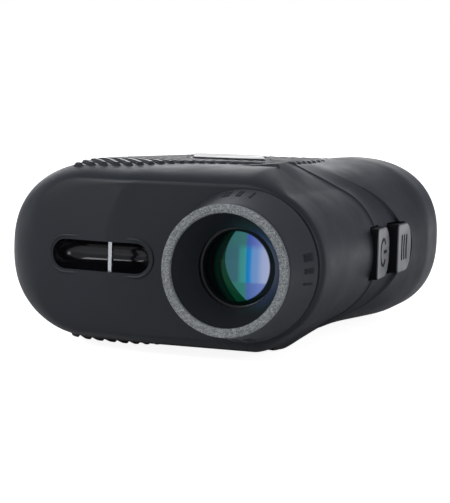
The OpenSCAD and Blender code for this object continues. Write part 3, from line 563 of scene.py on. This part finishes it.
def slot_points(grow, y):
    s = stadium(SLOT_REACH, SLOT_W / 2 + grow)
    x, z = s[:, 0] + SLOT_MID_X, s[:, 1]
    return np.stack([x, lean(x, z) + y if np.isscalar(y) else y, z], 1)


def column(points_2d, low, high):
    """Closed prism along X from (y, z) points."""
    a = np.stack([np.full(len(points_2d), low), points_2d[:, 0], points_2d[:, 1]], 1)
    b = a + [high - low, 0, 0]
    return loft([a, b], start_pole=a.mean(0), end_pole=b.mean(0))


def circle_yz(y, radius, steps=96):
    t = np.linspace(0, 2 * math.pi, steps, endpoint=False)
    return np.stack([y + radius * np.cos(t), radius * np.sin(t)], 1)


def cut(target, cutters):
    for verts, faces in cutters:
        tool = add_mesh("cutter", verts, faces, M["casing"])
        modifier = target.modifiers.new("cut", "BOOLEAN")
        modifier.operation, modifier.solver, modifier.object = "DIFFERENCE", "EXACT", tool
        depsgraph = bpy.context.evaluated_depsgraph_get()
        mesh = bpy.data.meshes.new_from_object(target.evaluated_get(depsgraph))
        target.modifiers.clear()
        old = target.data
        target.data = mesh
        bpy.data.meshes.remove(old)
        bpy.data.objects.remove(tool)
    target.data.shade_smooth()
    target.data.set_sharp_from_angle(angle=math.radians(CASING_SHARP))


# The cutters reach well past the wall they open.
BORE_GAP, BUTTON_GAP = 0.2, 0.3
slot_cut = slot_points(-0.1, 0)
slot_rings = [slot_cut + [0, -8, 0], slot_cut + [0, 12, 0]]
a = np.linspace(0, 2 * math.pi, 96, endpoint=False)
bore_r = BARREL_R + BORE_GAP
bore = np.stack([bore_r * np.cos(a), np.full(96, -2.0), bore_r * np.sin(a)], 1)
cut(casing, [
    loft(slot_rings, start_pole=slot_rings[0].mean(0), end_pole=slot_rings[1].mean(0)),
    loft([bore, bore + [0, 12, 0]], start_pole=[0, -2, 0], end_pole=[0, 10, 0]),
    column(d_outline(POWER_Y, BUTTON_GAP), 8, 25),
    column(d_outline(MODE_Y, BUTTON_GAP), 8, 25),
    column(circle_yz(BATTERY_Y, CAP_WELL_R), -BASE_DROP - 3, -BASE_DROP + 6),
])
piece(casing, "casing", "casing_plastic", "main_casing")

# ---- Strap slot: a raised bead round the mouth and a scooped pocket ----
BEAD = ((1.05, 0.10), (0.95, -0.12), (0.78, -0.24), (0.5, -0.24), (0.28, -0.10), (0.10, 0.25), (-0.02, 0.9),
        (-0.1, 1.6), (0.6, 1.6), (1.05, 0.6))  # section of the bead: distance outside the slot, depth
bead = [slot_points(grow, y) for grow, y in BEAD]
piece(add_mesh("slot_bead", *loft(bead, looped=True), M["casing"], sharp=50), "casing", "casing_plastic")


def pocket_ring(depth, inset):
    s = stadium(SLOT_REACH, SLOT_W / 2 - 0.12)
    reach = 1 - inset * 0.5
    x, z = s[:, 0] * reach + SLOT_MID_X, s[:, 1] * (1 - inset)
    return np.stack([x, lean(x, z) * (1 - depth / SLOT_DEPTH) + depth, z], 1)


scoop = []
for turn in np.linspace(0, 84, 22):
    turn = math.radians(turn)
    scoop.append(pocket_ring(0.6 + 6.8 * math.sin(turn), 1 - math.cos(turn) ** 0.55))
behind = [r + (r - [SLOT_MID_X, r[:, 1].mean(), 0]) * [0.03, 0, 0.12] + [0, 0.5, 0] for r in scoop]
pocket = loft(scoop[::-1] + behind, start_pole=scoop[-1].mean(0), end_pole=behind[-1].mean(0))
piece(add_mesh("slot_pocket", *pocket, M["pocket"], sharp=60), "casing", "casing_plastic")

# ---- Grips ----
RIB_PITCH, RIB_SLOPE, RIB_H, PAD_H = 2.4, math.radians(36), 0.62, 1.0
GRIP_X, GRIP_Y, GRIP_CORNER, GRIP_EDGE = (-45.6, -1.6), (6.6, 87.4), 7, 1.6
LAND_X, LAND_Y, LAND_CORNER = (-9.5, 9.5), (38, 78), 4


def surface_z(x, y):
    """Height of the flank over the middle plane, with the rounding of the rear edge."""
    n = 2.3 + 0.7 * np.minimum(1, y / 40)
    k = np.clip((BASE_C - x) / BASE_END_LEN, 0, 0.999)
    flat = (1 - k ** n) ** (1 / n)
    end = smooth(np.degrees(np.arcsin(k ** (n / 2))) / 90)
    length = SIDE_ROUND_LEN + (BASE_ROUND_LEN - SIDE_ROUND_LEN) * end
    rear_y = y - lean(x, HALF_W * flat - 2.0)
    rear = np.sqrt(np.clip(1 - (1 - np.clip(rear_y / length, 0, 1)) ** 2, 0, 1))
    rounding = SIDE_ROUND + (BASE_ROUND - SIDE_ROUND) * end
    return (HALF_W * flat - rounding * (1 - rear)) * (1 - far_taper(y) / HALF_W)


def soft_box(x, y, xs, ys, r):
    """Distance outside a rectangle with rounded corners, negative inside it."""
    qx = np.abs(x - (xs[0] + xs[1]) / 2) - (xs[1] - xs[0]) / 2 + r
    qy = np.abs(y - (ys[0] + ys[1]) / 2) - (ys[1] - ys[0]) / 2 + r
    return np.hypot(np.clip(qx, 0, None), np.clip(qy, 0, None)) + np.minimum(np.maximum(qx, qy), 0) - r


def grip_mesh(side):
    """Ribbed pad with a smooth raised land in it; side is 1 for the flank above and -1 for the one below."""
    nx, ny = 190, 300
    x, y = np.meshgrid(np.linspace(-46.5, -1, nx), np.linspace(5, 88, ny), indexing="ij")
    rear_edge = 24 - 15 * smooth((-12 - x) / 20)
    edge = np.maximum(soft_box(x, y, GRIP_X, GRIP_Y, GRIP_CORNER), rear_edge - y)
    mask = smooth(-edge / GRIP_EDGE)
    s = (x + 20) * math.cos(RIB_SLOPE) + (y - 49) * math.sin(RIB_SLOPE)
    wave = 0.5 + 0.5 * np.cos(2 * math.pi * s / RIB_PITCH)
    rib = RIB_H * smooth((wave - 0.22) / 0.5)
    centre = -20.9 - 0.361 * (y - 47)
    land = soft_box(x - centre, y, LAND_X, LAND_Y, LAND_CORNER)
    pad = smooth(-land / 0.9 + 0.2)
    rib = rib * smooth((land - 0.5) / 0.6)
    h = -0.35 + mask * (0.35 + rib) + pad * PAD_H * mask
    top = np.minimum(surface_z(x, y) + h, LAND_Z)
    flat = 1 - smooth(np.abs((y - 58) / 17) ** 6)
    top = top + pad * mask * flat * (LAND_Z - top)
    low = surface_z(x, y) - 1.1
    pts = np.concatenate([np.stack([x, y, top], -1).reshape(-1, 3), np.stack([x, y, low], -1).reshape(-1, 3)])
    pts[:, 2] *= side
    faces = []
    total = nx * ny
    for i in range(nx - 1):
        for j in range(ny - 1):
            a0 = i * ny + j
            faces.append((a0, a0 + 1, a0 + ny + 1, a0 + ny))
            b0 = total + a0
            faces.append((b0, b0 + ny, b0 + ny + 1, b0 + 1))
    rim = list(range(ny)) + [i * ny + ny - 1 for i in range(1, nx)]
    rim += [(nx - 1) * ny + j for j in range(ny - 2, -1, -1)] + [i * ny for i in range(nx - 2, 0, -1)]
    for p, q in zip(rim, rim[1:] + rim[:1]):
        faces.append((p, q, total + q, total + p))
    return pts, faces


piece(add_mesh("grip_left", *grip_mesh(1), M["grip"], sharp=60), "casing", "grip_rubber", "left_grip")
piece(add_mesh("grip_right", *grip_mesh(-1), M["grip"], sharp=60), "casing", "grip_rubber", "right_grip")

# ---- Eyepiece ----
ring_rear = RIM_Y + RIM_T + CUFF_T
cone_rear = ring_rear + 0.3
cone_len = RING_FRONT_Y - 1.0 - ring_rear - 0.3


def cone_radius(k):
    """Radius of the diopter cone at a share of its length."""
    return RIM_R + (RING_BASE_R - RIM_R) * (0.82 * k + 0.18 * k * k)


cone = [(BARREL_R + 0.05, ring_rear), (RIM_R - 0.35, ring_rear), (RIM_R - 0.1, ring_rear + 0.08),
        (RIM_R, cone_rear)]
cone += [(cone_radius(k), cone_rear + cone_len * k) for k in np.linspace(0.05, 1, 14)]
cone += [(RING_BASE_R, RING_FRONT_Y - 0.35), (RING_BASE_R - 0.12, RING_FRONT_Y - 0.08),
         (RING_BASE_R - 0.4, RING_FRONT_Y), (FLANGE_R + 0.3, RING_FRONT_Y), (FLANGE_R + 0.3, -1.8),
         (BARREL_R + 0.05, -1.8)]
piece(add_mesh("diopter_cone", *lathe(cone), M["diopter"], sharp=40),
      "diopter", "diopter_rubber", "diopter_ring")


def tick(angle, y0, y1, width=0.26, height=0.14):
    """Raised rounded bar along the cone."""
    rings = []
    a0 = math.radians(angle)
    for y in np.linspace(y0, y1, 9):
        k = (y - y0) / (y1 - y0)
        taper = math.sqrt(max(0.0, 1 - (2 * k - 1) ** 8)) * 0.97 + 0.03
        r = cone_radius((y - cone_rear) / cone_len)
        ring = []
        for t in np.linspace(0, 360, 12, endpoint=False):
            across = width * taper * math.cos(math.radians(t))
            rise = height * taper * math.sin(math.radians(t))
            b = a0 + across / r
            ring.append([(r + rise) * math.cos(b), y, (r + rise) * math.sin(b)])
        rings.append(ring)
    return loft(rings, start_pole=np.mean(rings[0], 0), end_pole=np.mean(rings[-1], 0))


def joined(parts):
    verts, faces, base = [], [], 0
    for v, f in parts:
        verts.append(v)
        faces += [tuple(i + base for i in face) for face in f]
        base += len(v)
    return np.concatenate(verts), faces


TICK_REAR, TICK_FRONT = -6.2, -2.2
ticks = []
for quarter in (0, 90, 180, 270):
    for offset, starts in ((11, (-2.2, 0, 2.2)), (0.5, (-1.1, 1.1)), (-9.5, (0,))):
        for s in starts:
            ticks.append(tick(quarter + offset + s, TICK_REAR, TICK_FRONT))
piece(add_mesh("diopter_marks", *joined(ticks), M["marks"], sharp=50), "diopter", "diopter_rubber")

rim_front = RIM_Y + RIM_T
rim_profile = [
    (RIM_R - 0.12, RIM_Y + 0.04), (RIM_R - 0.02, RIM_Y + 0.16), (RIM_R, RIM_Y + 0.4), (RIM_R, rim_front),
    (RIM_IN_R, rim_front), (RIM_IN_R, RIM_Y + 0.35), (RIM_IN_R + 0.06, RIM_Y + 0.12), (RIM_IN_R + 0.2, RIM_Y),
    (RIM_IN_R + 0.9, RIM_Y), (RIM_R - 0.4, RIM_Y)]
piece(add_mesh("eyecup_face", *lathe(rim_profile, 200), M["rim"], sharp=50),
      "diopter", "eyecup_rubber", "eyecup_rim")

top_y, low_y = RIM_Y + 1.1, FUNNEL_END_Y
funnel = [(RIM_IN_R + 0.02, RIM_Y + 0.7), (RIM_IN_R - 0.05, top_y)]
for k in np.linspace(0.06, 0.94, 14):
    r = RIM_IN_R - 0.05 + (FUNNEL_END_R - RIM_IN_R + 0.05) * (k + 0.22 * k * (1 - k))
    funnel.append((r, top_y + (low_y - top_y) * k))
funnel += [(FUNNEL_END_R, low_y - 0.15), (FUNNEL_END_R + 0.08, low_y), (FUNNEL_END_R + FUNNEL_WALL, low_y),
           (RIM_IN_R + 0.3, ring_rear), (RIM_R - 0.2, ring_rear), (RIM_R - 0.2, rim_front),
           (RIM_IN_R + 0.02, rim_front)]
piece(add_mesh("eyecup_cone", *lathe(funnel), M["funnel"], sharp=40),
      "diopter", "funnel_black", "eyecup_funnel")

ret = [(CELL_IN_R, CELL_REAR_Y), (EYE_OPENING_R + 0.32, CELL_REAR_Y),
       (EYE_OPENING_R + 0.10, CELL_REAR_Y + 0.08), (EYE_OPENING_R, CELL_REAR_Y + 0.28),
       (EYE_OPENING_R, CELL_REAR_Y + RETAINER_T),
       (CELL_IN_R, CELL_REAR_Y + RETAINER_T)]
piece(add_mesh("retainer_ring", *lathe(ret), M["retainer"], sharp=30),
      "eye_cell", "metal_black", "lens_retainer")


def lens_mesh(radius, y_rear, y_front, sag, rings=28, segments=128):
    """Biconvex glass; the sag is how far each face bulges out at its centre."""
    a = np.linspace(0, 2 * math.pi, segments, endpoint=False)
    big = (radius ** 2 + sag ** 2) / (2 * sag)
    out = []
    for y, sign, order in ((y_rear, 1, range(1, rings + 1)), (y_front, -1, range(rings, 0, -1))):
        for i in order:
            r = radius * i / rings
            depth = big - math.sqrt(big * big - r * r)
            out.append(np.stack([r * np.cos(a), np.full(segments, y + sign * depth), r * np.sin(a)], 1))
    return loft(out, start_pole=[0, y_rear, 0], end_pole=[0, y_front, 0])


LENS_R, LENS_SAG = 8.9, 1.1
eye_lo, eye_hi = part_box("eye_lens")
eye_y0, eye_y1 = eye_lo[1] * 1000 - SHIFT[1], eye_hi[1] * 1000 - SHIFT[1]
M["ocular"] = painted_reflection_lens("ocular_painted_reflection", w([0, 0, 0]), EYE_OPENING_R)
ocular = add_mesh("ocular_lens", *lens_mesh(LENS_R, eye_y0, eye_y1, LENS_SAG), M["ocular"])
piece(ocular, "eye_cell", "lens_glass", "eye_lens")


# ---- Buttons ----
REAR_DROP, FRONT_DROP = 0.6, 0.1  # how far the top lies below that of the CAD button
BUTTON_EDGE, DISH, HALF_SIZE = 0.3, 0.22, 6.2
POWER_SIGN_R = 3.0


def crown_x(y):
    k = min(1.0, max(0.0, (y - RIDGE_CROWN_Y) / (HOOD_Y - RIDGE_CROWN_Y))) ** 2
    return HOUSING_R + (HOOD_RISE - HOUSING_R) * k


def button_top(y0, y):
    rear, front = crown_x(y0) + BUTTON_RISE - REAR_DROP, crown_x(y0 + BUTTON_LEN) - FRONT_DROP
    return rear + (front - rear) * (y - y0) / (BUTTON_LEN + 1)


def button_mesh(y0):
    """Button with a rounded edge and a slightly dished top."""
    outline_2d = d_outline(y0, -0.02)
    centre = np.array([y0 + BUTTON_LEN * 0.5, 0.0])
    foot = BUTTON_FOOT_X + 0.62
    rings = []
    for low in (foot, 14.0):
        rings.append(np.stack([np.full(len(outline_2d), low), outline_2d[:, 0], outline_2d[:, 1]], 1))
    for t in (0, 22.5, 45, 67.5, 90):
        t = math.radians(t)
        inset, drop = BUTTON_EDGE * (1 - math.cos(t)), BUTTON_EDGE * (1 - math.sin(t))
        q = centre + (outline_2d - centre) * (1 - inset / HALF_SIZE)
        rings.append(np.stack([button_top(y0, q[:, 0]) - drop, q[:, 0], q[:, 1]], 1))
    for k in (0.85, 0.7, 0.55, 0.4, 0.25, 0.12):
        q = centre + (outline_2d - centre) * k * (1 - BUTTON_EDGE / HALF_SIZE)
        rings.append(np.stack([button_top(y0, q[:, 0]) - DISH * (1 - k) ** 0.8, q[:, 0], q[:, 1]], 1))
    return loft(rings, start_pole=[foot, *centre], end_pole=[button_top(y0, centre[0]) - DISH, *centre])


def swept(path, y0, width, height=0.1):
    """Flat raised line along (y, z) points on top of a button."""
    path = np.array(path)
    rings = []
    for i, p in enumerate(path):
        before, after = path[max(i - 1, 0)], path[min(i + 1, len(path) - 1)]
        d = (after - before) / max(1e-9, np.linalg.norm(after - before))
        nrm = np.array([-d[1], d[0]])
        ring = []
        for across, rise in ((-1, -0.3), (-1, 0.5), (-0.6, 1), (0.6, 1), (1, 0.5), (1, -0.3)):
            q = p + nrm * across * width / 2
            k = np.linalg.norm((q - [y0 + BUTTON_LEN / 2, 0]) / [7.0, 5.6])
            ring.append([button_top(y0, q[0]) - DISH * max(0.0, 1 - k) ** 0.8 + rise * height, q[0], q[1]])
        rings.append(ring)
    return loft(rings, start_pole=np.mean(rings[0], 0), end_pole=np.mean(rings[-1], 0))


KEYS = (("power", POWER_Y, "power_key", "power_button"), ("mode", MODE_Y, "mode_key", "mode_button"))
for name, y0, body, key in KEYS:
    cap = add_mesh(f"{name}_cap", *button_mesh(y0), M["button"], sharp=40)
    # Faces whose normals point sideways, the cap's side walls, get the dark print material: painted shade
    # that darkens the walls beside the top.
    cap.data.materials.append(M["print_and_shade"])
    for polygon in cap.data.polygons:
        if abs(polygon.normal.x) < 0.5:
            polygon.material_index = 1
    piece(cap, body, "button_plastic", key)
    middle = y0 + BUTTON_LEN / 2
    if name == "power":
        turns = [math.radians(t) for t in np.linspace(38, 322, 48)]
        ring_path = [(middle + POWER_SIGN_R * math.cos(t), POWER_SIGN_R * math.sin(t)) for t in turns]
        bar = [(middle + o, 0) for o in (1.2, 2.4, 4.0)]
        marks = [swept(ring_path, y0, 0.75), swept(bar, y0, 0.75)]
    else:
        marks = [swept([(middle + o, z) for z in (-3.0, 0, 3.0)], y0, 0.7) for o in (-2.4, 0, 2.4)]
    piece(add_mesh(f"{name}_mark", *joined(marks), M["print_and_shade"], sharp=50), body, "button_plastic")

# ---- Materials of the CAD nodes that stay ----
PAINT = {
    "front": ["front_bezel"],
    "seal": ["bezel_gasket", "cell_seal", "cap_seal"],
    "screw": ["bezel_screws", "board_screws"],
    "steel": ["strap_bar"],
    "black_metal": ["eyepiece_barrel", "barrel_nut", "lens_cell", "lens_spacer", "field_lens_retainer",
                    "objective_barrel", "objective_retainer", "receiver_barrel", "receiver_retainer"],
    "glass": ["field_lens", "objective_crown_lens", "objective_flint_lens", "receiver_lens", "laser_lens"],
    "prism": ["rear_prism", "roof_prism"],
    "display": ["reticle_display"],
    "inner": ["reticle_holder", "prism_holder", "battery_tube"],
    "board": ["detector_board", "main_board", "switch_board"],
    "chip": ["board_chips"],
    "can": ["detector", "power_switch", "mode_switch"],
    "brass": ["laser_module"],
    "flex": ["flex_cable"],
    "battery": ["battery"],
    "contact": ["battery_contact", "cap_contact"],
    "casing": ["battery_cap"],
}
for key, names in PAINT.items():
    for name in names:
        mesh = NODES[name].data
        mesh.materials.clear()
        mesh.materials.append(M[key])

# ---- Floor, light ----
# The camera sees a white floor and world. All other rays see a dimmer world with one bright zone, and a floor
# that gives off light only on the far side: what lights the object is not the white that the camera sees.
SEEN_FLOOR, SEEN_WORLD = 0.9, 1.0
FLOOR_HALF = 4
ZONE_START, ZONE_FULL = 0.90, 0.975
floor_mesh = bpy.data.meshes.new("floor")
corners = [(-FLOOR_HALF, -FLOOR_HALF, 0), (FLOOR_HALF, -FLOOR_HALF, 0), (FLOOR_HALF, FLOOR_HALF, 0),
           (-FLOOR_HALF, FLOOR_HALF, 0)]
floor_mesh.from_pydata(corners, [], [(0, 1, 2, 3)])
floor = bpy.data.objects.new("floor", floor_mesh)
bpy.context.scene.collection.objects.link(floor)
floor_mat, tree, floor_bsdf = material("pale_floor")
tree.links.new(grey_ramp(tree, noise(tree, 3.0), (0.3, 0.80), (0.7, 0.84)), floor_bsdf.inputs["Base Color"])
floor_bsdf.inputs["Emission Color"].default_value = (1, 1, 1, 1)
floor_bsdf.inputs["Roughness"].default_value = 0.9
coords = tree.nodes.new("ShaderNodeTexCoord")
side = node(tree, "ShaderNodeVectorMath", operation="DOT_PRODUCT")
side.inputs[1].default_value = (-27.0, 11.0, 0.0)
tree.links.new(coords.outputs["Object"], side.inputs[0])
side_level = node(tree, "ShaderNodeMath", operation="ADD", use_clamp=True)
side_level.inputs[1].default_value = 0.55
tree.links.new(side.outputs["Value"], side_level.inputs[0])
back = node(tree, "ShaderNodeVectorMath", operation="DOT_PRODUCT")
back.inputs[1].default_value = (0.0, 14.0, 0.0)
tree.links.new(coords.outputs["Object"], back.inputs[0])
far_side = node(tree, "ShaderNodeMath", operation="MULTIPLY", use_clamp=True)
tree.links.new(side_level.outputs[0], far_side.inputs[0])
tree.links.new(back.outputs["Value"], far_side.inputs[1])
path = tree.nodes.new("ShaderNodeLightPath")
level = tree.nodes.new("ShaderNodeMix")
tree.links.new(path.outputs["Is Camera Ray"], level.inputs[0])
tree.links.new(grey_ramp(tree, far_side.outputs[0], (0.0, 0.0), (1.0, 1.0)), level.inputs[2])
level.inputs[3].default_value = SEEN_FLOOR
tree.links.new(level.outputs[0], floor_bsdf.inputs["Emission Strength"])
floor_mesh.materials.append(floor_mat)

world = bpy.data.worlds.new("world")
bpy.context.scene.world = world
world.use_nodes = True
tree = world.node_tree
background = tree.nodes["Background"]
coords = tree.nodes.new("ShaderNodeTexCoord")
toward = node(tree, "ShaderNodeVectorMath", operation="DOT_PRODUCT")
toward.inputs[1].default_value = (-0.36, 0.93, 0.05)
tree.links.new(coords.outputs["Generated"], toward.inputs[0])
glow = ramp(tree, toward.outputs["Value"], [
    (0.0, (0.40, 0.425, 0.47)), (0.5, (0.33, 0.35, 0.40)), (ZONE_START, (0.34, 0.36, 0.41)),
    (ZONE_FULL, (1, 1, 1))])
strength = grey_ramp(tree, toward.outputs["Value"], (ZONE_START, 0.34), (ZONE_FULL, 1))
lift = node(tree, "ShaderNodeMath", operation="MULTIPLY")
tree.links.new(strength, lift.inputs[0])
lift.inputs[1].default_value = 3.0
path = tree.nodes.new("ShaderNodeLightPath")
tint = tree.nodes.new("ShaderNodeMix")
tint.data_type = "RGBA"
tree.links.new(path.outputs["Is Camera Ray"], tint.inputs[0])
tree.links.new(glow, tint.inputs[6])
tint.inputs[7].default_value = (1, 1, 1, 1)
tree.links.new(tint.outputs[2], background.inputs["Color"])
level = tree.nodes.new("ShaderNodeMix")
tree.links.new(path.outputs["Is Camera Ray"], level.inputs[0])
tree.links.new(lift.outputs[0], level.inputs[2])
level.inputs[3].default_value = SEEN_WORLD
tree.links.new(level.outputs[0], background.inputs["Strength"])


def area_light(name, device_pos, device_target, size, watts):
    data = bpy.data.lights.new(name, "AREA")
    data.shape, data.size, data.size_y, data.energy = "RECTANGLE", size[0], size[1], watts
    obj = bpy.data.objects.new(name, data)
    bpy.context.scene.collection.objects.link(obj)
    pos, target = Vector(w(device_pos)), Vector(w(device_target))
    obj.location = pos
    obj.rotation_mode = "QUATERNION"
    obj.rotation_quaternion = (target - pos).to_track_quat("-Z", "Y")
    return obj


area_light("key", (-420, -420, 380), (-20, 0, 0), (0.35, 0.35), 1.9)
area_light("fill", (420, -380, 60), (0, 0, 0), (0.3, 0.3), 0.8)

view_settings = bpy.context.scene.view_settings
view_settings.view_transform = "Standard"
view_settings.look = "None"
